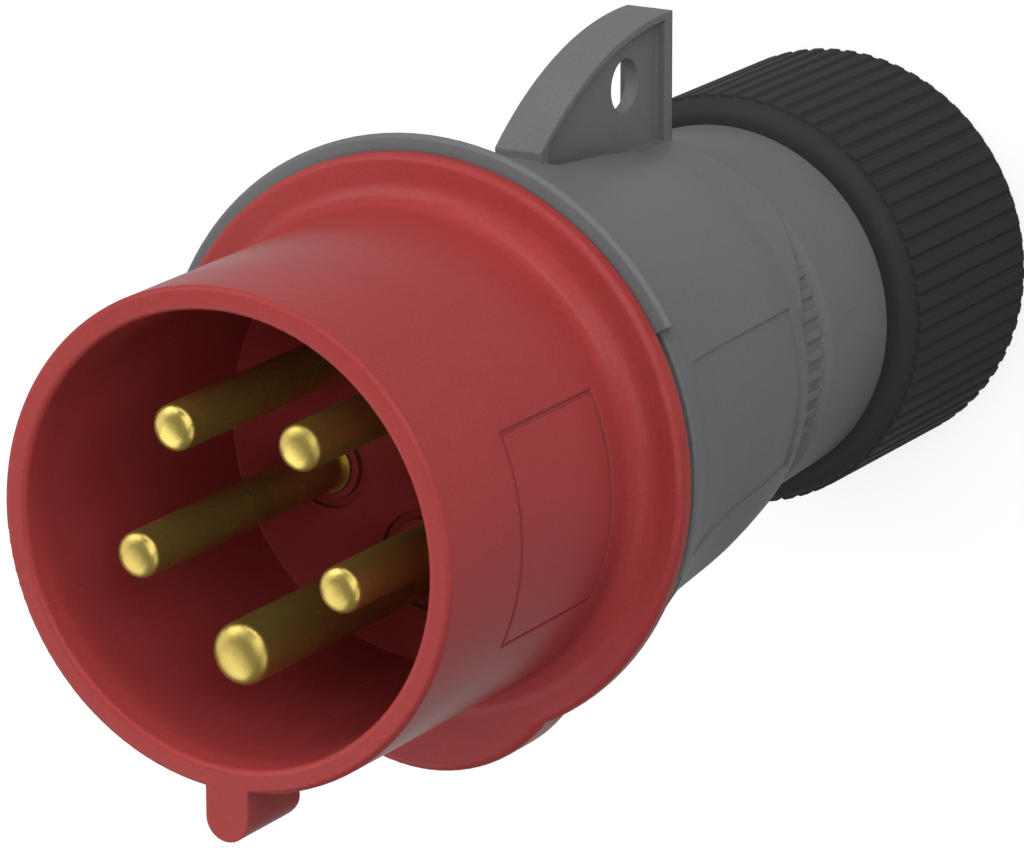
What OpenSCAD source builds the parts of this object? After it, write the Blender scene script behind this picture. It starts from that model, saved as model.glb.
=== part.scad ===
// Five-pole industrial pin and sleeve plug, standing on the rear face of its gland nut.
// The axis of the plug is Z, the contacts point to +Z, the retention fin to +Y and the
// key nub to -Y. The origin is on the axis, at the rear face of the gland nut.

/* [Sleeve] */
// Outer diameter of the sleeve
sleeve_d = 63.5; // [52:0.1:78]
// Wall of the sleeve
sleeve_wall = 3.1; // [2.4:0.1:4.2]
// Length of the sleeve from its rim to the flange
sleeve_len = 45.6; // [36:0.1:58]
// Depth of the cavity floor behind the front face of the flange
floor_set = 2; // [1:0.1:3]
// Thickness of the cavity floor
floor_t = 4; // [3:0.1:6]
// Radius of the fillet between sleeve and flange
root_fillet = 3.4; // [1:0.1:4]
// Rounding of the sleeve's rim
rim_round = 0.7; // [0.3:0.1:1.2]

/* [Key nub] */
// Width of the key nub
nub_w = 6; // [5:0.1:8]
// Height of the nub over the sleeve
nub_h = 6.5; // [4:0.1:8]
// Length of the nub behind the rim
nub_len = 12; // [8:0.1:20]

/* [Flange] */
// Overhang of the flange beyond the sleeve
flange_out = 6.45; // [5.8:0.05:9]
// Thickness of the flange
flange_t = 2.3; // [1.8:0.1:3.5]
// Radius of the catch lobe under the flange
lobe_r = 22.7; // [20:0.1:25]
// Distance that the lobe stands out beyond the flange
lobe_out = 4.5; // [4:0.1:6]
// Depth of the lobe behind the flange
lobe_deep = 3.9; // [3.2:0.1:5]
// Front to rear gap between flange and housing
joint_gap = 2.5; // [1.8:0.1:3.5]

/* [Catch] */
// Width of the catch
catch_w = 8; // [7:0.5:10]
// Travel of the catch when it is pressed
catch_travel = 1.6; // [1.2:0.1:1.8]
// Width of the tongue that reaches behind the housing's hooks
tongue_w = 6; // [4:0.5:6]

/* [Skirt and bayonet] */
// Step from the sleeve's outside down to the skirt's outside
skirt_step = 0.75; // [0.5:0.05:1.5]
// Wall of the skirt
skirt_wall = 2.7; // [2.2:0.1:3.4]
// Length of the skirt behind the flange
skirt_len = 18; // [15:0.1:22]
// Height of the bayonet lugs over the skirt
lug_h = 1.5; // [1:0.1:1.8]
// Width of a bayonet lug in degrees
lug_arc = 16; // [12:1:20]
// Thickness of a bayonet lug along the axis
lug_t = 3; // [2:0.1:4]
// Distance from the housing's front face to the lugs
lug_set = 4; // [3.5:0.1:6]
// Turn that opens the bayonet, in degrees
twist = 25; // [20:1:30]

/* [Contact pins] */
// Diameter of the circle through the contact pins
pin_pcd = 30.32; // [28:0.01:33]
// Diameter of the phase and neutral pins
pin_d = 6; // [5:0.1:7]
// Diameter of the earth pin
earth_d = 8; // [7:0.1:9]
// Distance from the rim to the pin tips
pin_set = 2.45; // [1:0.05:6]
// Radius that a pin gains where it passes the floor and the carrier
pin_root = 0.5; // [0.3:0.1:0.8]
// Collar of a pin beyond its shaft
pin_collar = 2.6; // [2:0.1:2.8]
// Length of the terminal end of a pin
terminal_len = 13.7; // [12:0.1:18]
// Diameter of the hole for the wire
wire_d = 4.8; // [3.5:0.1:5.4]
// Diameter of the terminal screws
term_screw_d = 4; // [3:0.1:4.4]

/* [Contact carrier] */
// Thickness of the contact carrier
carrier_t = 12; // [9:0.1:14]
// Thickness of the plate that holds the pins in
plate_t = 3; // [2:0.1:4]
// Diameter of the carrier screws
carrier_screw_d = 3; // [2.5:0.1:3.5]

/* [Housing] */
// Length of the housing between flange joint and nut
body_h = 77.3; // [70:0.1:95]
// Wall between the skirt and the outside at the front of the body
body_front_wall = 4.9; // [4.6:0.1:6]
// How far the body flares out towards its front rim
front_flare = 2.2; // [1.6:0.1:2.6]
// Outer radius of the body at its rear shoulder
body_rear_r = 28.4; // [27.8:0.1:30]
// How far the body is rounded off towards its shoulder
shoulder_round = 1; // [0.6:0.1:1.4]
// Length of the neck between shoulder and nut
neck_len = 29.2; // [25:0.1:36]
// Outer radius of the neck at its front
neck_front_r = 25.8; // [25.2:0.1:27]
// Outer radius of the neck at the nut
neck_r = 25; // [24.2:0.1:27]
// Depth of the grip groove behind the shoulder
groove_deep = 1.2; // [0.6:0.1:1.6]
// Length of the grip groove
groove_len = 11.6; // [8:0.1:14]
// Number of grip teeth that a full turn would have
tooth_count = 56; // [40:1:80]
// Height of the grip teeth
tooth_rise = 0.5; // [0.3:0.1:0.8]
// Wall of the housing
wall = 3; // [2.4:0.1:3.6]
// Thickness of the housing's front rim along the axis
rim_t = 4; // [3:0.1:5]
// Height of the raised lip over the flange
lip_out = 2; // [1.6:0.1:2.6]
// Angle at which the raised lip ends on the right side, in degrees
lip_right = 30; // [20:1:50]
// Angle at which the raised lip ends on the left side, in degrees
lip_left = 156; // [130:1:160]
// Arc of the full front rim, in degrees
rim_arc = 220; // [200:1:240]

/* [Retention fin] */
// Width of the fin
fin_w = 6.8; // [6:0.1:9]
// Height of the fin's top over the flange's edge
fin_rise = 7.3; // [5.5:0.1:9]
// Length of the fin along the body
fin_len = 35; // [32:0.1:38]
// Radius of the fin's curved front edge
fin_curve = 53.2; // [50:0.1:60]
// Thickness of the web inside the fin
fin_web = 1.9; // [1.5:0.1:2.4]
// Distance from the fin's right side down to the web
fin_sink = 1.4; // [1:0.1:2]
// Wall along the fin's front edge
fin_edge = 1; // [0.8:0.1:2]
// Wall along the fin's rear edge
fin_back = 1.9; // [1.5:0.1:2.6]
// Diameter of the lanyard hole
fin_hole_d = 7.2; // [5:0.1:7.6]
// Distance from the fin's top down to the hole's centre
fin_hole_drop = 8.3; // [8:0.1:9]
// Distance from the fin's rear face to the hole's centre
fin_hole_set = 10.5; // [8:0.1:12]

/* [Cable gland] */
// Height of the gland nut
nut_h = 35.3; // [32:0.1:42]
// Outer radius of the nut over its ribs
nut_r = 28.7; // [27.5:0.1:33]
// Depth of the grip ribs
rib_deep = 0.4; // [0.2:0.05:0.8]
// Number of grip ribs
rib_count = 70; // [50:2:110]
// Radius of the cable hole in the nut
cable_hole_r = 12.5; // [10:0.1:14]
// Thickness of the nut's rear wall
nut_floor = 4.5; // [3.5:0.1:6]
// Outer radius of the threaded stem
stem_r = 22.5; // [21.8:0.1:23.4]
// Wall of the stem
stem_wall = 2.5; // [2:0.1:3]
// Length of the stem below the neck
stem_len = 21.6; // [18:0.1:24]
// Thickness of the thrust ring
ring_t = 3.5; // [2.5:0.1:5]
// Radius of the cable that the seal takes
cable_r = 9.5; // [7:0.1:10.5]
// Length of the stem's bore that takes the clamp cage
cage_seat = 16; // [14:0.5:18]
// Width of the shelf that the clamp cage stands against
shelf_w = 3.5; // [3:0.1:4]
// Wall of the clamp cage
cage_wall = 2.7; // [2.2:0.1:3]
// Number of fingers on the clamp cage
finger_count = 10; // [6:1:12]

/* [Fits] */
// Radial running clearance of the turning fits
run_gap = 0.08; // [0.02:0.01:0.1]
// Clearance between pieces that don't move on each other
seat_gap = 0.3; // [0.2:0.05:0.4]

/* [Hidden] */
$fn = 96;
cut = 0.01;
big = 200;

// Radii, from the axis outwards
sleeve_r = sleeve_d / 2;
cavity_r = sleeve_r - sleeve_wall;
flange_r = sleeve_r + flange_out;
skirt_r = sleeve_r - skirt_step;
skirt_in = skirt_r - skirt_wall;
carrier_r = skirt_in - seat_gap;
bore_r = skirt_r + run_gap;
body_front_r = skirt_r + body_front_wall;
body_mid_r = body_front_r - front_flare;
rim_r = flange_r - 0.5;
lip_r = flange_r + lip_out;
lobe_y = flange_r + lobe_out - lobe_r;
pin_r = pin_d / 2;
earth_r = earth_d / 2;
pcd_r = pin_pcd / 2;
stem_in = stem_r - stem_wall;
cage_r = stem_in - seat_gap;
fin_top = flange_r + fin_rise;
groove_r = neck_front_r - groove_deep;
groove_slope = 6;

// Heights, from the nut's rear face up to the sleeve's rim
neck_z = nut_h + seat_gap;
shoulder_z = neck_z + neck_len;
joint_z = neck_z + body_h;
flange_z = joint_z + joint_gap;
front_z = flange_z + flange_t;
rim_z = front_z + sleeve_len;
floor_z = front_z - floor_set;
carrier_top = floor_z - floor_t;
plate_top = carrier_top - carrier_t;
plate_z = plate_top - plate_t;
skirt_z = flange_z - skirt_len;
stem_z = neck_z - stem_len;
lip_h = joint_gap - seat_gap;
shelf_z = stem_z + cage_seat;
passage_r = stem_in - shelf_w;
cage_in = cage_r - cage_wall;
ring_in = cage_in - 3;
fin_z = shoulder_z - 7.9;
groove_low = shoulder_z - groove_len + 1.2;
body_edge_z = joint_z - rim_t - 1;

// The catch in the lobe, and the tongue with which it reaches behind the housing's hooks
catch_guide = 0.8;
catch_top = front_z - 1.1;
catch_z = flange_z - lobe_deep - 1.2;
catch_in = rim_r + 2 * seat_gap + catch_travel + 0.3;
catch_out_guide = catch_in + catch_guide;
catch_outer = lobe_y + lobe_r;
tongue_len = 4.2;
tongue_t = 1.4;

// Where each pin stands on the circle, in degrees
pin_angles = [54, 126, 198, 342];
earth_angle = 270;
screw_angles = [90, 234, 306];
screw_ring_r = carrier_r - 4.5;

// Height of a pin's thicker root over the cavity floor
pin_proud = 0.4;

// Where the smooth pad under the fin starts, and where the fin's curve has its crest
pad_from = 46;
fin_crest = -1.3;

function on_circle(r, a, z = 0) = [r * cos(a), r * sin(a), z];

function on_plane(r, a) = [r * cos(a), r * sin(a)];

// A ring section swept from one angle to another
module arc_sweep(from, to) {
    rotate([0, 0, from])
        rotate_extrude(angle = to - from)
            children();
}

// ---------------------------------------------------------------- front unit

// Section of the sleeve's wall with both rim edges rounded
module sleeve_section() {
    translate([cavity_r, floor_z - cut])
        square([sleeve_wall, rim_z - rim_round - floor_z + cut]);
    translate([cavity_r + rim_round, floor_z])
        square([sleeve_wall - 2 * rim_round, rim_z - floor_z]);
    translate([cavity_r + rim_round, rim_z - rim_round])
        circle(r = rim_round, $fn = 32);
    translate([sleeve_r - rim_round, rim_z - rim_round])
        circle(r = rim_round, $fn = 32);
}

// Section of a disc whose front outer edge is rounded
module disc_section(r, z0, z1, edge) {
    translate([0, z0])
        square([r, z1 - edge - z0]);
    translate([0, z0])
        square([r - edge, z1 - z0]);
    translate([r - edge, z1 - edge])
        circle(r = edge, $fn = 32);
}

// Concave fillet between the sleeve's outside and the flange
module root_section() {
    difference() {
        translate([sleeve_r - cut, front_z - cut])
            square([root_fillet + cut, root_fillet + cut]);
        translate([sleeve_r + root_fillet, front_z + root_fillet])
            circle(r = root_fillet, $fn = 64);
    }
}

// Outside of the sleeve, flange and skirt, before the inside is cut
module sleeve_outside() {
    rotate_extrude() {
        sleeve_section();
        root_section();
        disc_section(flange_r, flange_z, front_z, 1);
        translate([0, skirt_z])
            square([skirt_r, flange_z - skirt_z + cut]);
    }
    lobe();
    key_nub();
    for (i = [0:2])
        rotate([0, 0, 120 * i])
            bayonet_lug();
}

// The lobe that carries the catch, clear of the housing's rim inside it
module lobe() {
    difference() {
        translate([0, -lobe_y, 0])
            rotate_extrude()
                disc_section(lobe_r, flange_z - lobe_deep, front_z, 1);
        translate([0, 0, flange_z - lobe_deep - 1])
            cylinder(r = rim_r + seat_gap, h = lobe_deep + 1);
        translate([-big / 2, -flange_r / 2, 0])
            cube([big, big, big]);
    }
}

// The key nub at six o'clock, with a round lower edge and a round rear corner
module key_nub() {
    tip_y = sleeve_r + nub_h - nub_w / 2;
    corner = 2.5;
    intersection() {
        union() {
            translate([0, -tip_y, rim_z - nub_len])
                cylinder(d = nub_w, h = nub_len);
            translate([-nub_w / 2, -tip_y, rim_z - nub_len])
                cube([nub_w, tip_y - cavity_r - 1, nub_len]);
        }
        rotate([90, 0, 90])
            linear_extrude(height = nub_w + 2, center = true) {
                translate([-big, rim_z - nub_len + corner])
                    square([big, nub_len]);
                translate([-sleeve_r - nub_h + corner, rim_z - nub_len])
                    square([big, nub_len]);
                translate([-sleeve_r - nub_h + corner, rim_z - nub_len + corner])
                    circle(r = corner, $fn = 48);
            }
    }
}

// One lug of the bayonet that holds the front unit in the housing
module bayonet_lug() {
    arc_sweep(-lug_arc / 2, lug_arc / 2)
        translate([skirt_r - 1, joint_z - lug_set - lug_t])
            square([1 + lug_h, lug_t]);
}

// A bare panel framed by a fine moulded line on the sleeve's right side
module rating_frame() {
    line = 0.6;
    deep = 0.35;
    half_arc = 25.5;
    line_arc = line / sleeve_r * 180 / PI;
    low = front_z + 6.1;
    high = front_z + 28.7;
    difference() {
        arc_sweep(-half_arc, half_arc)
            translate([sleeve_r - deep, low])
                square([1, high - low]);
        arc_sweep(-half_arc + line_arc, half_arc - line_arc)
            translate([sleeve_r - deep - 1, low + line])
                square([3, high - low - 2 * line]);
    }
}

// A ring groove that leaves a short collar round each pin in the floor
module collar_groove(r) {
    collar = 1.5;
    groove_w = 1.1;
    groove_t = 1.2;
    rotate_extrude()
        translate([r + collar, floor_z - groove_t])
            square([groove_w, groove_t + 1]);
}

// The pocket in which the catch slides, open to the outside and to the rear
module catch_pocket() {
    high = catch_top + seat_gap - catch_z + 1;
    half_w = catch_w / 2 + seat_gap;
    guide_w = half_w + catch_guide;
    inner = rim_r;
    translate([-half_w, -big / 2, catch_z - 1])
        cube([2 * half_w, big / 2 - inner, high]);
    translate([-guide_w, -catch_out_guide - seat_gap, catch_z - 1])
        cube([2 * guide_w, catch_out_guide + seat_gap - inner, high]);
}

module sleeve_body() {
    color("firebrick")
        difference() {
            sleeve_outside();
            translate([0, 0, floor_z])
                cylinder(r = cavity_r, h = sleeve_len + 20);
            translate([0, 0, skirt_z - 1])
                cylinder(r = skirt_in, h = carrier_top - skirt_z + 1);
            for (a = pin_angles)
                translate(on_circle(pcd_r, a)) {
                    translate([0, 0, carrier_top - 1])
                        cylinder(r = pin_r + pin_root + run_gap, h = floor_t + 2);
                    collar_groove(pin_r);
                }
            translate(on_circle(pcd_r, earth_angle)) {
                translate([0, 0, carrier_top - 1])
                    cylinder(r = earth_r + pin_root + run_gap, h = floor_t + 2);
                collar_groove(earth_r);
            }
            for (a = screw_angles)
                translate(on_circle(screw_ring_r, a, carrier_top - 1))
                    cylinder(d = carrier_screw_d + 2 * run_gap, h = 1 + floor_t - 1);
            rating_frame();
            catch_pocket();
        }
}

module lock_catch() {
    color("firebrick") {
        intersection() {
            translate([-catch_w / 2, -catch_outer, catch_z])
                cube([catch_w, catch_outer - catch_in, catch_top - catch_z]);
            translate([0, -lobe_y, catch_z])
                cylinder(r = lobe_r, h = catch_top - catch_z);
        }
        translate([-catch_w / 2 - catch_guide, -catch_out_guide, catch_z])
            cube([catch_w + 2 * catch_guide, catch_out_guide - catch_in, catch_top - catch_z]);
        translate([-tongue_w / 2, -catch_in - tongue_t, catch_z - tongue_len])
            cube([tongue_w, tongue_t, tongue_len + 1]);
    }
}

// ---------------------------------------------------------------- contacts

// A turned contact pin: domed shaft, collar and drilled terminal end, on its own axis
module contact_pin(r, a) {
    tip_z = rim_z - pin_set;
    collar_r = r + pin_collar;
    block_r = r + 2;
    block_z = plate_top - terminal_len;
    dome = 0.8;
    collar_t = 3;
    screw_hole_z = block_z + terminal_len / 2 - 1.5;
    color("goldenrod")
        translate(on_circle(pcd_r, a))
            rotate([0, 0, a])
                difference() {
                    rotate_extrude() {
                        translate([0, plate_top])
                            square([r, tip_z - dome - plate_top]);
                        translate([0, plate_top])
                            square([r - dome, tip_z - plate_top]);
                        intersection() {
                            translate([r - dome, tip_z - dome])
                                circle(r = dome, $fn = 32);
                            square([r, big]);
                        }
                        translate([0, plate_top])
                            square([r + pin_root, floor_z + pin_proud - plate_top]);
                        translate([0, plate_top])
                            square([collar_r, collar_t]);
                        translate([0, block_z])
                            square([block_r, terminal_len + cut]);
                    }
                    translate([0, 0, block_z - 1])
                        cylinder(d = wire_d, h = terminal_len - 2);
                    translate([0, 0, screw_hole_z])
                        rotate([0, 90, 0])
                            cylinder(d = term_screw_d + 2 * run_gap, h = block_r + 1);
                }
}

module pin_l1() {
    contact_pin(pin_r, pin_angles[3]);
}

module pin_l2() {
    contact_pin(pin_r, pin_angles[0]);
}

module pin_l3() {
    contact_pin(pin_r, pin_angles[1]);
}

module pin_neutral() {
    contact_pin(pin_r, pin_angles[2]);
}

module pin_earth() {
    contact_pin(earth_r, earth_angle);
}

// Slotted cheese-head screw along +Z, with its head's underside at z = 0
module slotted_screw(d, length, head_d, head_h) {
    difference() {
        union() {
            translate([0, 0, -length])
                cylinder(d = d, h = length);
            cylinder(d = head_d, h = head_h);
        }
        translate([-head_d, -0.45, head_h - 1])
            cube([2 * head_d, 0.9, 2]);
    }
}

// The terminal screws, one square to each pin's terminal end
module terminal_screws() {
    screw_z = plate_top - terminal_len + terminal_len / 2 - 1.5;
    color("silver") {
        for (a = pin_angles)
            rotate([0, 0, a])
                translate([pcd_r + pin_r + 2.3, 0, screw_z])
                    rotate([0, 90, 0])
                        slotted_screw(term_screw_d, pin_r + 0.3 + 2 - wire_d / 2, 5.6, 2);
        rotate([0, 0, earth_angle])
            translate([pcd_r + earth_r + 2.3, 0, screw_z])
                rotate([0, 90, 0])
                    slotted_screw(term_screw_d, earth_r + 0.3 + 2 - wire_d / 2, 5.6, 2);
    }
}

// Moulded block behind the cavity floor, with a stepped bore for each pin
module contact_carrier() {
    color("dimgray")
        difference() {
            translate([0, 0, plate_top])
                cylinder(r = carrier_r, h = carrier_t);
            for (a = pin_angles)
                translate(on_circle(pcd_r, a, plate_top - 1))
                    stepped_hole(pin_r);
            translate(on_circle(pcd_r, earth_angle, plate_top - 1))
                stepped_hole(earth_r);
            for (a = screw_angles)
                translate(on_circle(screw_ring_r, a, plate_top - 1))
                    cylinder(d = carrier_screw_d + 2 * seat_gap, h = carrier_t + 2);
        }
}

// Shaft hole with a wider seat for the collar at its rear end
module stepped_hole(r) {
    cylinder(r = r + pin_root + run_gap, h = carrier_t + 2);
    cylinder(r = r + pin_collar + run_gap, h = 4);
}

// The plate that keeps the pins' collars in the carrier
module retaining_plate() {
    color("gray")
        difference() {
            translate([0, 0, plate_z])
                cylinder(r = carrier_r, h = plate_t);
            for (a = pin_angles)
                translate(on_circle(pcd_r, a, plate_z - 1))
                    cylinder(r = pin_r + 2 + run_gap, h = plate_t + 2);
            translate(on_circle(pcd_r, earth_angle, plate_z - 1))
                cylinder(r = earth_r + 2 + run_gap, h = plate_t + 2);
            for (a = screw_angles)
                translate(on_circle(screw_ring_r, a, plate_z - 1))
                    cylinder(d = carrier_screw_d + 2 * seat_gap, h = plate_t + 2);
        }
}

module carrier_screws() {
    color("silver")
        for (a = screw_angles)
            translate(on_circle(screw_ring_r, a, plate_z))
                mirror([0, 0, 1])
                    slotted_screw(carrier_screw_d, plate_t + carrier_t + floor_t - 1.5, 5.6, 2);
}

// ---------------------------------------------------------------- joint

// Flat rubber ring squeezed between flange and housing
module joint_gasket() {
    color("black")
        translate([0, 0, joint_z])
            difference() {
                cylinder(r = body_front_r - seat_gap, h = joint_gap);
                translate([0, 0, -1])
                    cylinder(r = skirt_r + seat_gap, h = joint_gap + 2);
            }
}

// ---------------------------------------------------------------- housing

// Outer radius of the body, from its shoulder (t = 0) to the front rim (t = 1): a slight
// taper that is rounded off at the shoulder and flares out at the rim
function body_r(t) =
    let (
        start = body_rear_r + shoulder_round,
        taper = (body_mid_r - start) * t,
        rounding = shoulder_round * pow(max(0, 0.3 - t) / 0.3, 1.5),
        flare = front_flare * pow(max(0, t - 0.58) / 0.42, 1.5)
    )
    start + taper - rounding + flare;

// Outer radius of the body at a height over the base
function body_at(z) = body_r(min(1, max(0, (z - shoulder_z) / (body_edge_z - shoulder_z))));

// Body, shoulder, grip groove and neck in one outline
module body_section() {
    steps = 20;
    corner = 0.8;
    low = shoulder_z + corner;
    centre = [body_at(low) - corner, low];
    line = 0.35;
    polygon(concat(
        [[0, neck_z], [neck_r, neck_z], [neck_front_r, shoulder_z - groove_len],
         [groove_r, groove_low], [groove_r, shoulder_z - groove_slope]],
        [for (i = [0:6]) centre + corner * [sin(15 * i), -cos(15 * i)]],
        [for (i = [1:steps])
            let (z = low + i / steps * (body_edge_z - low))
                [body_at(z), z]],
        [[body_front_r - line, body_edge_z], [body_front_r - line, body_edge_z + line],
         [body_front_r, body_edge_z + line], [body_front_r, joint_z], [0, joint_z]]
    ));
}

// Shallow teeth in the grip groove, on both sides, that follow its floor up to the shoulder
module grip_teeth() {
    pitch = 360 / tooth_count;
    sink = 0.8;
    top_r = body_rear_r - 0.5;
    for (side = [0, 1])
        mirror([side, 0, 0])
            for (i = [1:floor((pad_from + 52) / pitch)])
                arc_sweep(pad_from - pitch * i, pad_from - pitch * (i - 0.45))
                    polygon([[groove_r - sink, groove_low - 0.4], [groove_r + tooth_rise, groove_low],
                             [groove_r + tooth_rise, shoulder_z - groove_slope],
                             [top_r, shoulder_z + 0.3], [top_r - sink, shoulder_z + 0.6],
                             [groove_r - sink, shoulder_z - groove_slope + 1]]);
}

// The front rim, and the lip that stands forward round the upper half of the flange
module front_rim() {
    edge = 0.4;
    inner = body_front_r - 1;
    arc_sweep(90 - rim_arc / 2, 90 + rim_arc / 2)
        polygon([[inner, body_edge_z + 0.35], [body_front_r + 0.5, body_edge_z + 0.35],
                 [rim_r - edge / 2, joint_z - edge], [rim_r - edge, joint_z], [inner, joint_z]]);
    top = joint_z + lip_h;
    arc_sweep(lip_right, lip_left)
        polygon([[rim_r - 2, body_edge_z + 1.5], [rim_r - 0.6, body_edge_z + 1.5],
                 [lip_r - 2.2, joint_z - 2.6], [lip_r - 0.8, joint_z + 0.4],
                 [lip_r - 0.1, joint_z + lip_h - 1.2], [lip_r, joint_z + lip_h - 0.9],
                 [lip_r, top - edge], [lip_r - edge, top], [flange_r - 1, top],
                 [flange_r - 1, joint_z]]);
}

// Arc behind the lobe with a hook at each end: the catch's tongue swings between them
module stop_boss() {
    play = 0.4;
    hook_in = catch_in - catch_travel + tongue_t + play;
    hook_out = catch_outer - seat_gap;
    half = atan(tongue_w / 2 / catch_in) + 0.6;
    boss_top = catch_z - tongue_len - 0.9;
    boss_low = boss_top - 2.4;
    ramp = 9;
    edge = 0.8;
    inner = bore_r + 0.6;
    hook_top = catch_z - 0.5;
    first = 270 + half;
    last = 270 - twist - half;
    hook_arc = 5;
    arc_sweep(last - hook_arc, first + hook_arc)
        polygon([[inner, boss_low - ramp], [hook_out - edge, boss_low],
                 [hook_out, boss_low + edge], [hook_out, boss_top], [inner, boss_top]]);
    for (a = [last - hook_arc + 0.4, first])
        arc_sweep(a, a + hook_arc - 0.4)
            translate([hook_in, boss_top - 1])
                square([hook_out - 0.3 - hook_in, hook_top - boss_top + 1]);
}

// Height of the fin's curved front edge at a distance from the fin's rear face, for a
// curve drawn in by a wall
function fin_height(t, in = 0) =
    fin_top - fin_curve + sqrt(pow(fin_curve - in, 2) - pow(t + fin_crest, 2));

// Side outline of the fin in heights (x) and plug lengths (y)
module fin_outline() {
    steps = 16;
    polygon(concat(
        [[20, fin_z], [20, fin_z + fin_len]],
        [for (i = [steps:-1:0])
            let (t = fin_len * i / steps)
                [fin_height(t), fin_z + t]]
    ));
}

// Pocket outline: the fin's outline less its front edge, rear wall and body
module fin_pocket_outline() {
    steps = 12;
    far = fin_len - 2 * fin_edge;
    floor_y = body_rear_r - 0.4;
    intersection() {
        polygon(concat(
            [[20, fin_z + fin_back], [20, fin_z + far]],
            [for (i = [steps:-1:0])
                let (t = fin_back + (far - fin_back) * i / steps)
                    [fin_height(t, fin_edge), fin_z + t]]
        ));
        translate([floor_y, fin_z + fin_back])
            square([big, big]);
    }
}

// Places a flat outline of heights and lengths upright beside the plug's middle plane
module upright(from, width) {
    translate([from + width / 2, 0, 0])
        rotate([0, 0, 90])
            rotate([90, 0, 0])
                linear_extrude(height = width, center = true)
                    children();
}

// The two pockets that leave the web, and the round lanyard hole through it
module fin_web_cut() {
    right = fin_w / 2 - fin_sink;
    upright(right, fin_sink + 1)
        fin_pocket_outline();
    upright(-fin_w / 2 - 1, fin_w + 1 - fin_sink - fin_web)
        fin_pocket_outline();
    translate([0, fin_top - fin_hole_drop, fin_z + fin_hole_set])
        rotate([0, 90, 0])
            cylinder(d = fin_hole_d, h = fin_w + 2, center = true);
}

// The body carries on under the fin as a pad, behind the shoulder. It runs out hollow
// to the neck, and slants back to the shoulder on both sides
module fin_pad() {
    inner = groove_r - 1;
    pad_r = body_rear_r - 0.4;
    low = shoulder_z - groove_len;
    high = shoulder_z + 1;
    run = fin_z - low;
    drop = pad_r - neck_front_r;
    intersection() {
        rotate_extrude()
            polygon(concat(
                [[inner, low], [neck_front_r, low]],
                [for (i = [1:6])
                    let (a = 15 * i)
                        [neck_front_r + drop * (1 - cos(a)), low + run * sin(a)]],
                [[body_rear_r - 0.1, high], [inner, high]]
            ));
        upright(-pad_r, 2 * pad_r)
            polygon([[0.15 * pad_r, high + 1], [0.73 * pad_r, fin_z], [0.8 * pad_r, low - 1],
                     [pad_r + 2, low - 1], [pad_r + 2, high + 1]]);
    }
}

// Hollow of the housing: skirt seat, wiring chamber and cable passage
module housing_hollow() {
    seat_z = plate_z - 0.5;
    low_z = shoulder_z + 5;
    chamber_low = body_at(low_z) - wall;
    chamber_high = body_at(seat_z - 2) - wall - 1;
    throat_r = groove_r - wall;
    rotate_extrude()
        polygon([
            [0, shelf_z], [passage_r, shelf_z], [passage_r, neck_z + 4],
            [throat_r, neck_z + 9], [throat_r, shoulder_z - 1],
            [chamber_low, low_z], [chamber_high, seat_z - 2],
            [chamber_high, seat_z], [bore_r, seat_z],
            [bore_r, joint_z + 1], [0, joint_z + 1]
        ]);
}

// L-shaped track of one bayonet lug: in along the axis, then round to the stop
module bayonet_track() {
    from = -lug_arc / 2 - twist - 1;
    to = lug_arc / 2 + 1;
    top = joint_z - lug_set + seat_gap;
    low = joint_z - lug_set - lug_t - seat_gap;
    deep = lug_h + seat_gap + 1;
    arc_sweep(from, to)
        translate([skirt_r - 1, low])
            square([deep, top - low]);
    arc_sweep(from, from + lug_arc + 2)
        translate([skirt_r - 1, low])
            square([deep, joint_z + 1 - low]);
}

// A shallow moulded panel, left bare, on the body's right side
module side_panel() {
    deep = 0.35;
    steps = 4;
    low = shoulder_z + 3.5;
    high = joint_z - rim_t - 3.5;
    arc_sweep(-21.5, 21.5)
        polygon(concat(
            [[body_at(high) + 3, high], [body_at(high) + 3, low]],
            [for (i = [0:steps])
                let (z = low + (high - low) * i / steps)
                    [body_at(z) - deep, z]]
        ));
}

module housing() {
    color("slategray")
        difference() {
            union() {
                rotate_extrude()
                    body_section();
                translate([0, 0, stem_z])
                    cylinder(r = stem_r, h = stem_len + 1);
                front_rim();
                stop_boss();
                grip_teeth();
                fin_pad();
                upright(-fin_w / 2, fin_w)
                    fin_outline();
            }
            housing_hollow();
            translate([0, 0, stem_z - 1])
                cylinder(r = stem_in, h = shelf_z - stem_z + 1);
            for (i = [0:2])
                rotate([0, 0, 120 * i])
                    bayonet_track();
            fin_web_cut();
            side_panel();
        }
}

// ---------------------------------------------------------------- cable gland

// Ring of fingers that the nut presses on to the seal and the cable
module clamp_cage() {
    finger_z = nut_floor + ring_t + seat_gap;
    base_h = 6;
    color("whitesmoke")
        difference() {
            translate([0, 0, finger_z])
                cylinder(r = cage_r, h = shelf_z - finger_z);
            translate([0, 0, finger_z - 1])
                cylinder(r = cage_in, h = shelf_z - finger_z + 2);
            for (i = [0:finger_count - 1])
                rotate([0, 0, 360 * (i + 0.5) / finger_count])
                    translate([cage_in - 2, -1, finger_z - 1])
                        cube([cage_r - cage_in + 4, 2, shelf_z - finger_z - base_h + 1]);
            translate([0, 0, finger_z - 1])
                difference() {
                    cylinder(r = cage_r + 2, h = 4);
                    cylinder(r1 = cage_r - 2.2, r2 = cage_r + 0.1, h = 4.1);
                }
        }
}

// Rubber bush round the cable
module cable_seal() {
    low = nut_floor + ring_t + 2;
    high = shelf_z - seat_gap;
    color("black")
        rotate_extrude()
            difference() {
                polygon([[cable_r, low], [cage_in - seat_gap - 1.5, low],
                         [cage_in - seat_gap, low + 2], [cage_in - seat_gap, high], [cable_r, high]]);
                for (i = [0:2])
                    translate([cable_r, low + 5 + 5 * i])
                        circle(r = 0.8, $fn = 24);
            }
}

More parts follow.
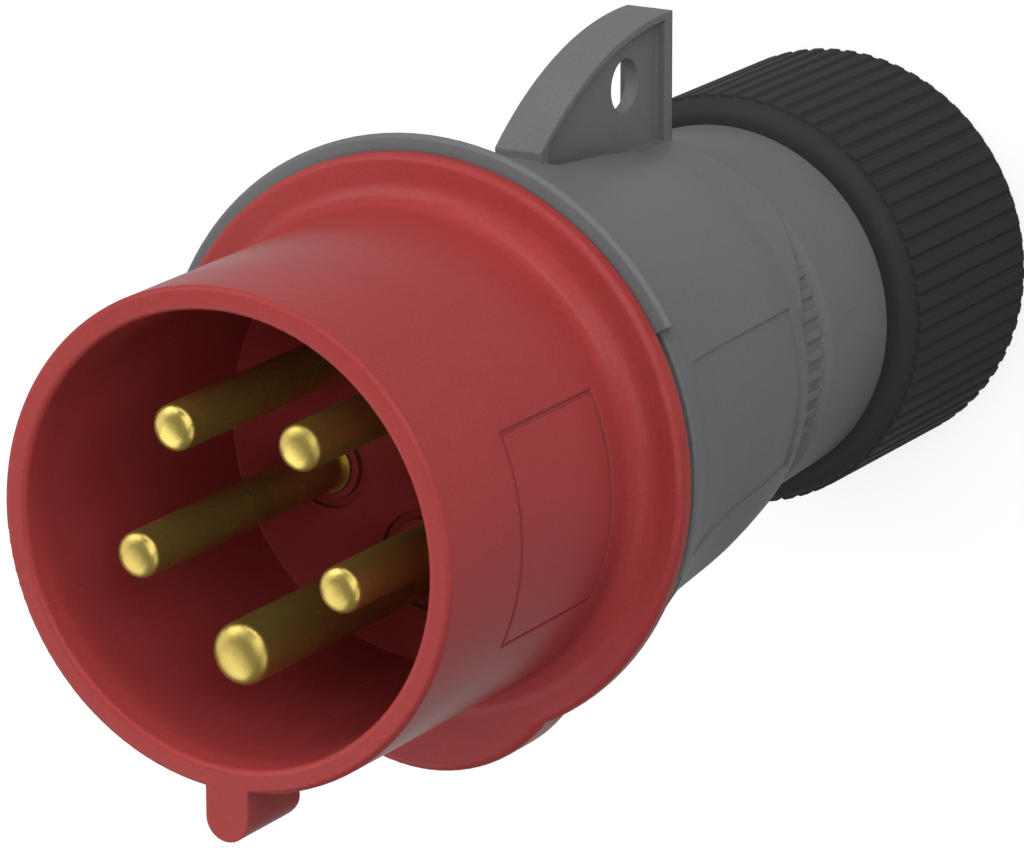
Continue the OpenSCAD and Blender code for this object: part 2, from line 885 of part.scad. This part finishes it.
// Slip ring between the turning nut and the still fingers
module thrust_ring() {
    color("gainsboro")
        rotate_extrude()
            polygon([[ring_in, nut_floor], [stem_r, nut_floor],
                     [stem_r, nut_floor + ring_t], [ring_in + 1.5, nut_floor + ring_t],
                     [ring_in, nut_floor + ring_t - 1.5]]);
}

// Ribbed nut with a round front shoulder and a sharp rear edge
module gland_nut() {
    core_r = nut_r - rib_deep;
    round_r = 2.4;
    rib_low = 0.6;
    rib_top = nut_h - round_r;
    pitch = 360 / rib_count;
    color("darkslategray")
        difference() {
            union() {
                rotate_extrude() {
                    square([core_r, nut_h - round_r]);
                    square([core_r - round_r, nut_h]);
                    intersection() {
                        translate([core_r - round_r, nut_h - round_r])
                            circle(r = round_r, $fn = 64);
                        square([core_r, nut_h]);
                    }
                }
                translate([0, 0, rib_low])
                    linear_extrude(height = rib_top - rib_low)
                        polygon([for (i = [0:rib_count - 1], side = [-1, 1], low = [0, 1])
                            let (top = (side < 0) == (low == 1))
                                on_plane(top ? nut_r : core_r - 0.05,
                                         pitch * (i + side * (top ? 0.26 : 0.46)))]);
            }
            translate([0, 0, nut_floor])
                cylinder(r = stem_r + run_gap, h = nut_h);
            translate([0, 0, -1])
                cylinder(r = cable_hole_r, h = nut_floor + 2);
        }
}

sleeve_body();
contact_carrier();
pin_l1();
pin_l2();
pin_l3();
pin_neutral();
pin_earth();
retaining_plate();
carrier_screws();
terminal_screws();
joint_gasket();
lock_catch();
housing();
clamp_cage();
cable_seal();
thrust_ring();
gland_nut();
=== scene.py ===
import math

import bmesh
import bpy
from mathutils import Matrix, Vector


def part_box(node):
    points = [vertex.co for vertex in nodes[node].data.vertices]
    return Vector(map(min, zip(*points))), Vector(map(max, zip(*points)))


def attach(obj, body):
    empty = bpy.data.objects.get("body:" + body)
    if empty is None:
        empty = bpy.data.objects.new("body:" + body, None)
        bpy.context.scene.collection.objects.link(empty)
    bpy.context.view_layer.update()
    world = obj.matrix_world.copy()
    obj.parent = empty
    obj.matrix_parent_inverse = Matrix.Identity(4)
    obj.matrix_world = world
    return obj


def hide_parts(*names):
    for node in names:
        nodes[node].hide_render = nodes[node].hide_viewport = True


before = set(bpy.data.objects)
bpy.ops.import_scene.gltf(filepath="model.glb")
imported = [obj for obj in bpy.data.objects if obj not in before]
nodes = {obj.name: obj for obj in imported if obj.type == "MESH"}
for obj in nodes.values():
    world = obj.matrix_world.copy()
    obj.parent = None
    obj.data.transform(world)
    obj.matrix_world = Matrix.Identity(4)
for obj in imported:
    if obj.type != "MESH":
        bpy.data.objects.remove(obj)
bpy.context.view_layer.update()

# ---- Camera and studio -------------------------------------------------------------
# The plug stands on its gland nut on a pale floor. The camera looks down on the open
# end of the sleeve, a little from the side that carries the bare panels. Soft boxes
# stand round it, well out from its axis, and one low strip lights the flange's edge.

# a long lens some 0.8 m from the plug, held so that the fin is at the top
view_camera = bpy.data.objects.new("view_camera", bpy.data.cameras.new("view_camera"))
bpy.context.scene.collection.objects.link(view_camera)
bpy.context.scene.camera = view_camera
view_camera.data.sensor_width = 36.0
view_camera.data.lens = 228.52
view_camera.data.clip_end = 20.0
camera_right = Vector((0.86644, -0.00215, -0.49927))
camera_up = Vector((-0.13632, 0.96098, -0.24071))
camera_back = Vector((0.48031, 0.27662, 0.83234))
camera_frame = Matrix((camera_right, camera_up, camera_back)).transposed().to_4x4()
camera_frame.translation = Vector((0.404094, 0.230136, 0.793862))
view_camera.matrix_world = camera_frame

bpy.context.scene.view_settings.view_transform = "Standard"


def new_material(name):
    """A new material: its nodes, its links and its shader."""
    material = bpy.data.materials.new(name)
    material.use_nodes = True
    tree = material.node_tree
    return material, tree.nodes, tree.links, tree.nodes["Principled BSDF"]


def is_background_ray(tree_nodes, links):
    """1 for rays from the camera or through clear parts, and less for rays off gloss."""
    gloss_share = 0.2
    path = tree_nodes.new("ShaderNodeLightPath")
    off_gloss = tree_nodes.new("ShaderNodeMath")
    off_gloss.operation = "MULTIPLY"
    off_gloss.inputs[1].default_value = gloss_share
    links.new(path.outputs["Is Glossy Ray"], off_gloss.inputs[0])
    camera_or_gloss = tree_nodes.new("ShaderNodeMath")
    camera_or_gloss.operation = "MAXIMUM"
    links.new(path.outputs["Is Camera Ray"], camera_or_gloss.inputs[0])
    links.new(off_gloss.outputs[0], camera_or_gloss.inputs[1])
    any_of_them = tree_nodes.new("ShaderNodeMath")
    any_of_them.operation = "MAXIMUM"
    links.new(camera_or_gloss.outputs[0], any_of_them.inputs[0])
    links.new(path.outputs["Is Transmission Ray"], any_of_them.inputs[1])
    return any_of_them.outputs[0]


studio_floor = bpy.data.meshes.new("studio_floor")
floor_shape = bmesh.new()
floor_half, floor_gap = 4.0, 0.0002
bmesh.ops.create_grid(floor_shape, x_segments=1, y_segments=1, size=floor_half)
bmesh.ops.translate(floor_shape, vec=(0.0, 0.0, -floor_gap), verts=floor_shape.verts)
floor_shape.to_mesh(studio_floor)
floor_shape.free()
floor_object = bpy.data.objects.new("studio_floor", studio_floor)
bpy.context.scene.collection.objects.link(floor_object)

# The floor is a plain card, just under the nut, that glows for the camera on top of
# the light that falls on it. So it looks white, and still takes the plug's soft shadow.
floor_material, tree, links, shader = new_material("pale_floor")
shader.inputs["Base Color"].default_value = (0.30, 0.30, 0.30, 1.0)
shader.inputs["Roughness"].default_value = 0.9
shader.inputs["Specular IOR Level"].default_value = 0.1
seen = is_background_ray(tree, links)
glow = tree.new("ShaderNodeEmission")
glow.inputs["Color"].default_value = (1.0, 1.0, 1.0, 1.0)
glow.inputs["Strength"].default_value = 0.72
shown = tree.new("ShaderNodeMixShader")
both = tree.new("ShaderNodeAddShader")
links.new(shader.outputs[0], both.inputs[0])
links.new(glow.outputs[0], both.inputs[1])
links.new(seen, shown.inputs[0])
links.new(shader.outputs[0], shown.inputs[1])
links.new(both.outputs[0], shown.inputs[2])
links.new(shown.outputs[0], tree["Material Output"].inputs["Surface"])
studio_floor.materials.append(floor_material)

# The world is dim where it lights the plug, and white behind it.
world = bpy.data.worlds.new("studio")
bpy.context.scene.world = world
world.use_nodes = True
tree, links = world.node_tree.nodes, world.node_tree.links
seen = is_background_ray(tree, links)
soft = tree["Background"]
soft.inputs["Color"].default_value = (1.0, 1.0, 1.0, 1.0)
soft.inputs["Strength"].default_value = 0.07
white = tree.new("ShaderNodeBackground")
white.inputs["Color"].default_value = (1.0, 1.0, 1.0, 1.0)
white.inputs["Strength"].default_value = 1.0
choose = tree.new("ShaderNodeMixShader")
links.new(seen, choose.inputs[0])
links.new(soft.outputs[0], choose.inputs[1])
links.new(white.outputs[0], choose.inputs[2])
links.new(choose.outputs[0], tree["World Output"].inputs["Surface"])


def soft_box(name, place, watts, wide=0.9, high=0.9):
    """A soft box at one place, turned to face the middle of the plug."""
    plug_middle = Vector((0.0, 0.0, 0.1))
    lamp = bpy.data.lights.new(name, "AREA")
    lamp.shape = "RECTANGLE"
    lamp.size = wide
    lamp.size_y = high
    lamp.energy = watts
    lamp_object = bpy.data.objects.new(name, lamp)
    lamp_object.location = place
    from_plug = Vector(place) - plug_middle
    lamp_object.rotation_euler = from_plug.to_track_quat("Z", "Y").to_euler()
    bpy.context.scene.collection.objects.link(lamp_object)


soft_box("over_fin", (0.1, 1.25, 0.6), watts=5.2)
soft_box("over_fin_left", (-0.75, 0.75, 0.9), watts=9.2)
soft_box("beside_camera", (0.55, 0.3, 1.3), watts=6.0)
soft_box("upper_right", (0.9, 0.8, 0.85), watts=5.8)
soft_box("lower_right", (1.05, -0.45, 0.85), watts=3.4)
soft_box("left_side", (-1.15, 0.0, 0.75), watts=3.8)
soft_box("left_below", (-0.7, -0.75, 0.9), watts=6.8)
soft_box("low_strip", (0.78, 0.98, 0.27), watts=5.2, wide=1.2, high=0.10)

# ---- Sleeve body and catch ---------------------------------------------------------
# The sleeve with its flange, root and key nub is one moulding of red polyamide, the
# colour of a 380-415 V plug. Its skirt turns inside the housing's mouth, and the sprung
# catch in the flange's lobe is pressed in to free it.


def scaled(colour, by):
    """A colour made lighter or darker by one factor."""
    return tuple(part * by for part in colour) + (1.0,)


def moulded_plastic(
    name, colour, roughness, gloss, grain, wear_and_edge_highlight, edge_round=0.0004, along=(1.0, 1.0, 1.0)
):
    """Moulded plastic: cloudy tone, fine grain, edges made paler as wear and as a painted
    highlight, and faint scuffs.

    wear_and_edge_highlight is how far the edges go pale, partly as wear and partly as a
    painted highlight, and it also sets how pale the scuffs go. edge_round is the radius the
    edges are softened to, and along scales the scuffs' pattern on each axis, with less than
    1 where they are long.
    """
    material, tree, links, shader = new_material(name)
    shader.inputs["Specular IOR Level"].default_value = gloss
    where = tree.new("ShaderNodeTexCoord")

    # slow clouds in the colour, as the melt flowed
    cloud = tree.new("ShaderNodeTexNoise")
    cloud.inputs["Scale"].default_value = 42.0
    cloud.inputs["Detail"].default_value = 4.0
    cloud.inputs["Distortion"].default_value = 0.6
    links.new(where.outputs["Object"], cloud.inputs["Vector"])
    tone = tree.new("ShaderNodeMix")
    tone.data_type = "RGBA"
    tone.inputs["A"].default_value = scaled(colour, 0.90)
    tone.inputs["B"].default_value = scaled(colour, 1.10)
    links.new(cloud.outputs["Fac"], tone.inputs["Factor"])

    # the tool's fine grain, about a third of a millimetre
    pebble = tree.new("ShaderNodeTexNoise")
    pebble.inputs["Scale"].default_value = 2900.0
    pebble.inputs["Detail"].default_value = 2.0
    links.new(where.outputs["Object"], pebble.inputs["Vector"])
    flecked = tree.new("ShaderNodeMix")
    flecked.data_type = "RGBA"
    flecked.blend_type = "MULTIPLY"
    fleck = tree.new("ShaderNodeMapRange")
    fleck.inputs["From Min"].default_value = 0.35
    fleck.inputs["From Max"].default_value = 0.65
    fleck.inputs["To Min"].default_value = 0.93
    fleck.inputs["To Max"].default_value = 1.05
    links.new(pebble.outputs["Fac"], fleck.inputs["Value"])
    links.new(tone.outputs["Result"], flecked.inputs["A"])
    links.new(fleck.outputs["Result"], flecked.inputs["B"])
    flecked.inputs["Factor"].default_value = 1.0

    # faint scuffs, drawn out along the axis of a part that is pushed in and pulled out
    drawn = tree.new("ShaderNodeMapping")
    drawn.inputs["Scale"].default_value = along
    links.new(where.outputs["Object"], drawn.inputs["Vector"])
    scuff = tree.new("ShaderNodeTexNoise")
    scuff.inputs["Scale"].default_value = 900.0
    scuff.inputs["Detail"].default_value = 3.0
    links.new(drawn.outputs["Vector"], scuff.inputs["Vector"])
    scuffed = tree.new("ShaderNodeMapRange")
    scuffed.inputs["From Min"].default_value = 0.63
    scuffed.inputs["From Max"].default_value = 0.78
    links.new(scuff.outputs["Fac"], scuffed.inputs["Value"])

    # edges: softened for the light and made paler, partly as wear and partly as a painted
    # highlight along them, with the scuffs a little paler too
    scuff_wear = 0.12
    soft_edge = tree.new("ShaderNodeBevel")
    soft_edge.samples = 4
    soft_edge.inputs["Radius"].default_value = edge_round
    flat = tree.new("ShaderNodeNewGeometry")
    meet = tree.new("ShaderNodeVectorMath")
    meet.operation = "DOT_PRODUCT"
    links.new(soft_edge.outputs["Normal"], meet.inputs[0])
    links.new(flat.outputs["Normal"], meet.inputs[1])
    edge = tree.new("ShaderNodeMapRange")
    edge.inputs["From Min"].default_value = 0.97
    edge.inputs["From Max"].default_value = 0.80
    edge.inputs["To Max"].default_value = wear_and_edge_highlight
    links.new(meet.outputs["Value"], edge.inputs["Value"])
    wear_and_highlight_mask = tree.new("ShaderNodeMath")
    wear_and_highlight_mask.operation = "MULTIPLY_ADD"
    wear_and_highlight_mask.inputs[1].default_value = scuff_wear * wear_and_edge_highlight
    links.new(scuffed.outputs["Result"], wear_and_highlight_mask.inputs[0])
    links.new(edge.outputs["Result"], wear_and_highlight_mask.inputs[2])
    # the pale tint for scuffs and edges: wear on the scuffs, and on the edges wear and a
    # painted highlight
    wear_and_highlight_tint = tree.new("ShaderNodeMix")
    wear_and_highlight_tint.data_type = "RGBA"
    kept, haze = 0.972, 0.10
    wear_and_highlight_tint.inputs["B"].default_value = tuple(kept * part + haze for part in colour) + (1.0,)
    links.new(wear_and_highlight_mask.outputs["Value"], wear_and_highlight_tint.inputs["Factor"])
    links.new(flecked.outputs["Result"], wear_and_highlight_tint.inputs["A"])
    links.new(wear_and_highlight_tint.outputs["Result"], shader.inputs["Base Color"])

    # gloss changes a little with the clouds and is dulled by the scuffs
    glossier, cloud_duller, scuff_duller = 0.04, 0.05, 0.05
    dull = tree.new("ShaderNodeMapRange")
    dull.inputs["From Min"].default_value = 0.3
    dull.inputs["From Max"].default_value = 0.7
    dull.inputs["To Min"].default_value = roughness - glossier
    dull.inputs["To Max"].default_value = roughness + cloud_duller
    links.new(cloud.outputs["Fac"], dull.inputs["Value"])
    duller = tree.new("ShaderNodeMath")
    duller.operation = "MULTIPLY_ADD"
    duller.inputs[1].default_value = scuff_duller
    links.new(scuffed.outputs["Result"], duller.inputs[0])
    links.new(dull.outputs["Result"], duller.inputs[2])
    links.new(duller.outputs["Value"], shader.inputs["Roughness"])

    # relief: grain, and the slow waviness of a thick moulded wall
    grainy = tree.new("ShaderNodeBump")
    grainy.inputs["Strength"].default_value = grain
    grainy.inputs["Distance"].default_value = 0.00004
    links.new(pebble.outputs["Fac"], grainy.inputs["Height"])
    links.new(soft_edge.outputs["Normal"], grainy.inputs["Normal"])
    sunk = tree.new("ShaderNodeTexNoise")
    sunk.inputs["Scale"].default_value = 110.0
    sunk.inputs["Detail"].default_value = 1.0
    links.new(where.outputs["Object"], sunk.inputs["Vector"])
    wavy = tree.new("ShaderNodeBump")
    wavy.inputs["Strength"].default_value = 0.5
    wavy.inputs["Distance"].default_value = 0.00012
    links.new(sunk.outputs["Fac"], wavy.inputs["Height"])
    links.new(grainy.outputs["Normal"], wavy.inputs["Normal"])
    links.new(wavy.outputs["Normal"], shader.inputs["Normal"])
    return material


def finish_in(material, *names):
    """Gives named parts of the frame this material alone."""
    for name in names:
        slots = nodes[name].data.materials
        slots.clear()
        slots.append(material)


red_plastic = moulded_plastic(
    "red_plastic",
    (0.290, 0.0365, 0.0365),
    roughness=0.26,
    gloss=0.10,
    grain=0.35,
    wear_and_edge_highlight=0.25,
    along=(1.0, 1.0, 0.06),
)
finish_in(red_plastic, "sleeve_body", "lock_catch")

# ---- Contact pins ------------------------------------------------------------------
# Five solid pins turned from brass bar: three phases and the neutral of one size, and
# the earth a size thicker. Each has a domed front end, is held by its collar between
# carrier and plate, and is bored at its rear end for the wire.


def turned_brass(name, centre):
    """Brass with the fine rings a lathe leaves round one pin's own axis."""
    material, tree, links, shader = new_material(name)
    shader.inputs["Metallic"].default_value = 0.85
    shader.inputs["Specular IOR Level"].default_value = 0.3

    # distance from the pin's axis and height along it, the same all the way round
    where = tree.new("ShaderNodeTexCoord")
    centred = tree.new("ShaderNodeMapping")
    centred.inputs["Location"].default_value = (-centre[0], -centre[1], 0.0)
    links.new(where.outputs["Object"], centred.inputs["Vector"])
    parts = tree.new("ShaderNodeSeparateXYZ")
    links.new(centred.outputs["Vector"], parts.inputs["Vector"])
    level = tree.new("ShaderNodeCombineXYZ")
    links.new(parts.outputs["X"], level.inputs["X"])
    links.new(parts.outputs["Y"], level.inputs["Y"])
    from_axis = tree.new("ShaderNodeVectorMath")
    from_axis.operation = "LENGTH"
    links.new(level.outputs["Vector"], from_axis.inputs[0])
    on_lathe = tree.new("ShaderNodeCombineXYZ")
    links.new(from_axis.outputs["Value"], on_lathe.inputs["X"])
    links.new(parts.outputs["Z"], on_lathe.inputs["Y"])

    # rings of the cutting tool, a fifth of a millimetre and finer
    rings = tree.new("ShaderNodeTexNoise")
    rings.inputs["Scale"].default_value = 5200.0
    rings.inputs["Detail"].default_value = 2.0
    links.new(on_lathe.outputs["Vector"], rings.inputs["Vector"])

    # handled metal: patches of faint brown tarnish, duller than the bare brass
    patch = tree.new("ShaderNodeTexNoise")
    patch.inputs["Scale"].default_value = 160.0
    patch.inputs["Detail"].default_value = 5.0
    links.new(where.outputs["Object"], patch.inputs["Vector"])
    aged = tree.new("ShaderNodeMapRange")
    aged.inputs["From Min"].default_value = 0.40
    aged.inputs["From Max"].default_value = 0.75
    links.new(patch.outputs["Fac"], aged.inputs["Value"])
    tone = tree.new("ShaderNodeMix")
    tone.data_type = "RGBA"
    tone.inputs["A"].default_value = (0.465, 0.356, 0.094, 1.0)
    tone.inputs["B"].default_value = (0.34, 0.256, 0.066, 1.0)
    links.new(aged.outputs["Result"], tone.inputs["Factor"])
    ringed = tree.new("ShaderNodeMapRange")
    ringed.inputs["From Min"].default_value = 0.3
    ringed.inputs["From Max"].default_value = 0.7
    ringed.inputs["To Min"].default_value = 0.88
    ringed.inputs["To Max"].default_value = 1.06
    links.new(rings.outputs["Fac"], ringed.inputs["Value"])
    cut_tone = tree.new("ShaderNodeMix")
    cut_tone.data_type = "RGBA"
    cut_tone.blend_type = "MULTIPLY"
    cut_tone.inputs["Factor"].default_value = 1.0
    links.new(tone.outputs["Result"], cut_tone.inputs["A"])
    links.new(ringed.outputs["Result"], cut_tone.inputs["B"])
    links.new(cut_tone.outputs["Result"], shader.inputs["Base Color"])
    dull = tree.new("ShaderNodeMapRange")
    dull.inputs["To Min"].default_value = 0.27
    dull.inputs["To Max"].default_value = 0.40
    links.new(aged.outputs["Result"], dull.inputs["Value"])
    links.new(dull.outputs["Result"], shader.inputs["Roughness"])

    # edges softened for the light, and the rings as shallow grooves
    soft_edge = tree.new("ShaderNodeBevel")
    soft_edge.samples = 4
    soft_edge.inputs["Radius"].default_value = 0.0002
    grooves = tree.new("ShaderNodeBump")
    grooves.inputs["Strength"].default_value = 0.3
    grooves.inputs["Distance"].default_value = 0.000012
    links.new(rings.outputs["Fac"], grooves.inputs["Height"])
    links.new(soft_edge.outputs["Normal"], grooves.inputs["Normal"])
    links.new(grooves.outputs["Normal"], shader.inputs["Normal"])
    return material


def domed_pin(name, middle, radius, top):
    """A copy of one pin with its front end turned to a dome, no longer than before."""
    shape = bmesh.new()
    shape.from_mesh(nodes[name].data)
    merge_gap, plane_gap = 0.000001, 0.0000001
    bmesh.ops.remove_doubles(shape, verts=shape.verts, dist=merge_gap)

    # the flat end is cut off, and the rim is drawn in and up in rings to close a dome
    dome = 0.4 * radius
    cut = bmesh.ops.bisect_plane(
        shape,
        geom=shape.verts[:] + shape.edges[:] + shape.faces[:],
        dist=plane_gap,
        plane_co=(middle[0], middle[1], top - dome),
        plane_no=(0.0, 0.0, 1.0),
        clear_outer=True,
    )
    rim = [part for part in cut["geom_cut"] if isinstance(part, bmesh.types.BMEdge)]
    to_axis = Matrix.Translation((-middle[0], -middle[1], 0.0))
    width, height = 1.0, 0.0
    steps, flatness, last_width = 10, 0.40, 0.02
    for step in range(1, steps + 1):
        rise = math.sin(math.radians(90.0 * step / steps))
        new_width = max(last_width, (1.0 - rise * rise) ** flatness)
        drawn = bmesh.ops.extrude_edge_only(shape, edges=rim)["geom"]
        rim = [part for part in drawn if isinstance(part, bmesh.types.BMEdge)]
        ring = [part for part in drawn if isinstance(part, bmesh.types.BMVert)]
        shrink = new_width / width
        bmesh.ops.scale(shape, vec=(shrink, shrink, 1.0), space=to_axis, verts=ring)
        bmesh.ops.translate(shape, vec=(0.0, 0.0, dome * (rise - height)), verts=ring)
        width, height = new_width, rise
    bmesh.ops.edgeloop_fill(shape, edges=rim)
    bmesh.ops.recalc_face_normals(shape, faces=shape.faces)

    # round faces are smooth, and edges where they meet at a steeper angle stay sharp
    for face in shape.faces:
        face.smooth = True
    sharp_from = math.radians(32.0)
    for side in shape.edges:
        side.smooth = len(side.link_faces) == 2 and side.calc_face_angle(0.0) < sharp_from
    mesh = bpy.data.meshes.new("turned_" + name)
    shape.to_mesh(mesh)
    shape.free()
    piece = bpy.data.objects.new("turned_" + name, mesh)
    bpy.context.scene.collection.objects.link(piece)
    return piece


pin_radius, earth_radius = 0.003, 0.004
for pin in ("pin_l1", "pin_l2", "pin_l3", "pin_neutral", "pin_earth"):
    low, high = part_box(pin)
    middle = ((low[0] + high[0]) / 2, (low[1] + high[1]) / 2)
    radius = earth_radius if pin == "pin_earth" else pin_radius
    turned_pin = domed_pin(pin, middle, radius, high[2])
    turned_pin.data.materials.append(turned_brass(pin.replace("pin", "brass"), middle))
    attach(turned_pin, "front")
    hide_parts(pin)

# ---- Contact carrier, plate and screws ---------------------------------------------
# The carrier and its retaining plate are dark glass-filled polyamide, which clamp the
# pins' collars between them. Three zinc plated screws hold them to the sleeve's floor,
# and one in each pin's rear end grips its wire.

carrier_plastic = moulded_plastic(
    "carrier_plastic", (0.017, 0.017, 0.019), roughness=0.55, gloss=0.35, grain=0.5, wear_and_edge_highlight=0.2
)
finish_in(carrier_plastic, "contact_carrier", "retaining_plate")

# zinc plating: cloudy, duller where it is dark, and faintly pitted
screw_steel, tree, links, shader = new_material("screw_steel")
shader.inputs["Metallic"].default_value = 1.0
where = tree.new("ShaderNodeTexCoord")
plating = tree.new("ShaderNodeTexNoise")
plating.inputs["Scale"].default_value = 700.0
plating.inputs["Detail"].default_value = 4.0
links.new(where.outputs["Object"], plating.inputs["Vector"])
zinc = tree.new("ShaderNodeValToRGB")
zinc.color_ramp.elements[0].position = 0.3
zinc.color_ramp.elements[0].color = (0.36, 0.36, 0.35, 1.0)
zinc.color_ramp.elements[1].position = 0.75
zinc.color_ramp.elements[1].color = (0.60, 0.61, 0.63, 1.0)
links.new(plating.outputs["Fac"], zinc.inputs["Fac"])
links.new(zinc.outputs["Color"], shader.inputs["Base Color"])
spangle = tree.new("ShaderNodeMapRange")
spangle.inputs["To Min"].default_value = 0.45
spangle.inputs["To Max"].default_value = 0.25
links.new(plating.outputs["Fac"], spangle.inputs["Value"])
links.new(spangle.outputs["Result"], shader.inputs["Roughness"])
pitted = tree.new("ShaderNodeBump")
pitted.inputs["Strength"].default_value = 0.25
pitted.inputs["Distance"].default_value = 0.00002
links.new(plating.outputs["Fac"], pitted.inputs["Height"])
links.new(pitted.outputs["Normal"], shader.inputs["Normal"])
finish_in(screw_steel, "carrier_screws", "terminal_screws")

# ---- Gasket and cable seal ---------------------------------------------------------
# The flat ring between flange and housing and the bush round the cable are moulded in
# black rubber. The gasket lies in the joint, and the clamp cage squeezes the seal.

# rubber: a dusty bloom in patches over fine pores
black_rubber, tree, links, shader = new_material("black_rubber")
shader.inputs["Specular IOR Level"].default_value = 0.25
where = tree.new("ShaderNodeTexCoord")
bloom = tree.new("ShaderNodeTexNoise")
bloom.inputs["Scale"].default_value = 260.0
bloom.inputs["Detail"].default_value = 6.0
links.new(where.outputs["Object"], bloom.inputs["Vector"])
dusty = tree.new("ShaderNodeValToRGB")
dusty.color_ramp.elements[0].position = 0.35
dusty.color_ramp.elements[0].color = (0.0095, 0.0095, 0.0098, 1.0)
dusty.color_ramp.elements[1].position = 0.80
dusty.color_ramp.elements[1].color = (0.026, 0.026, 0.026, 1.0)
links.new(bloom.outputs["Fac"], dusty.inputs["Fac"])
links.new(dusty.outputs["Color"], shader.inputs["Base Color"])
matt = tree.new("ShaderNodeMapRange")
matt.inputs["To Min"].default_value = 0.62
matt.inputs["To Max"].default_value = 0.85
links.new(bloom.outputs["Fac"], matt.inputs["Value"])
links.new(matt.outputs["Result"], shader.inputs["Roughness"])
pores = tree.new("ShaderNodeTexNoise")
pores.inputs["Scale"].default_value = 3400.0
links.new(where.outputs["Object"], pores.inputs["Vector"])
skin = tree.new("ShaderNodeBump")
skin.inputs["Strength"].default_value = 0.4
skin.inputs["Distance"].default_value = 0.00003
links.new(pores.outputs["Fac"], skin.inputs["Height"])
links.new(skin.outputs["Normal"], shader.inputs["Normal"])
finish_in(black_rubber, "joint_gasket", "cable_seal")

# ---- Housing -----------------------------------------------------------------------
# The grey housing is moulded in one piece from polyamide, with its front rim, toothed
# neck and retention fin. The sleeve's skirt turns in its mouth, and the gland nut is
# screwed onto the stem behind its neck.

# its strongly paled edges are partly a painted highlight, standing in for the bright line
# along the lip's front edge
grey_plastic = moulded_plastic(
    "grey_plastic", (0.121, 0.126, 0.130), roughness=0.42, gloss=0.09, grain=0.65, wear_and_edge_highlight=0.34
)
finish_in(grey_plastic, "housing")

# ---- Clamp cage and thrust ring ----------------------------------------------------
# The slotted cage that grips the cable and the ring that presses it are moulded in
# natural nylon, uncoloured and slightly clear. The ring travels along with the nut.

natural_plastic = moulded_plastic(
    "natural_plastic", (0.62, 0.60, 0.53), roughness=0.42, gloss=0.45, grain=0.3, wear_and_edge_highlight=0.1
)
milky = natural_plastic.node_tree.nodes["Principled BSDF"]
milky.inputs["Subsurface Weight"].default_value = 0.15
milky.inputs["Subsurface Scale"].default_value = 0.0015
finish_in(natural_plastic, "clamp_cage", "thrust_ring")

# ---- Gland nut ---------------------------------------------------------------------
# The nut is moulded in black polyamide with fine ribs for the hand. It is screwed onto
# the housing's stem and takes the thrust ring along, and its rear end lets the cable in.

nut_plastic = moulded_plastic(
    "nut_plastic",
    (0.0285, 0.0292, 0.0300),
    roughness=0.50,
    gloss=0.035,
    grain=0.6,
    wear_and_edge_highlight=0.03,
    edge_round=0.0001,
)
finish_in(nut_plastic, "gland_nut")
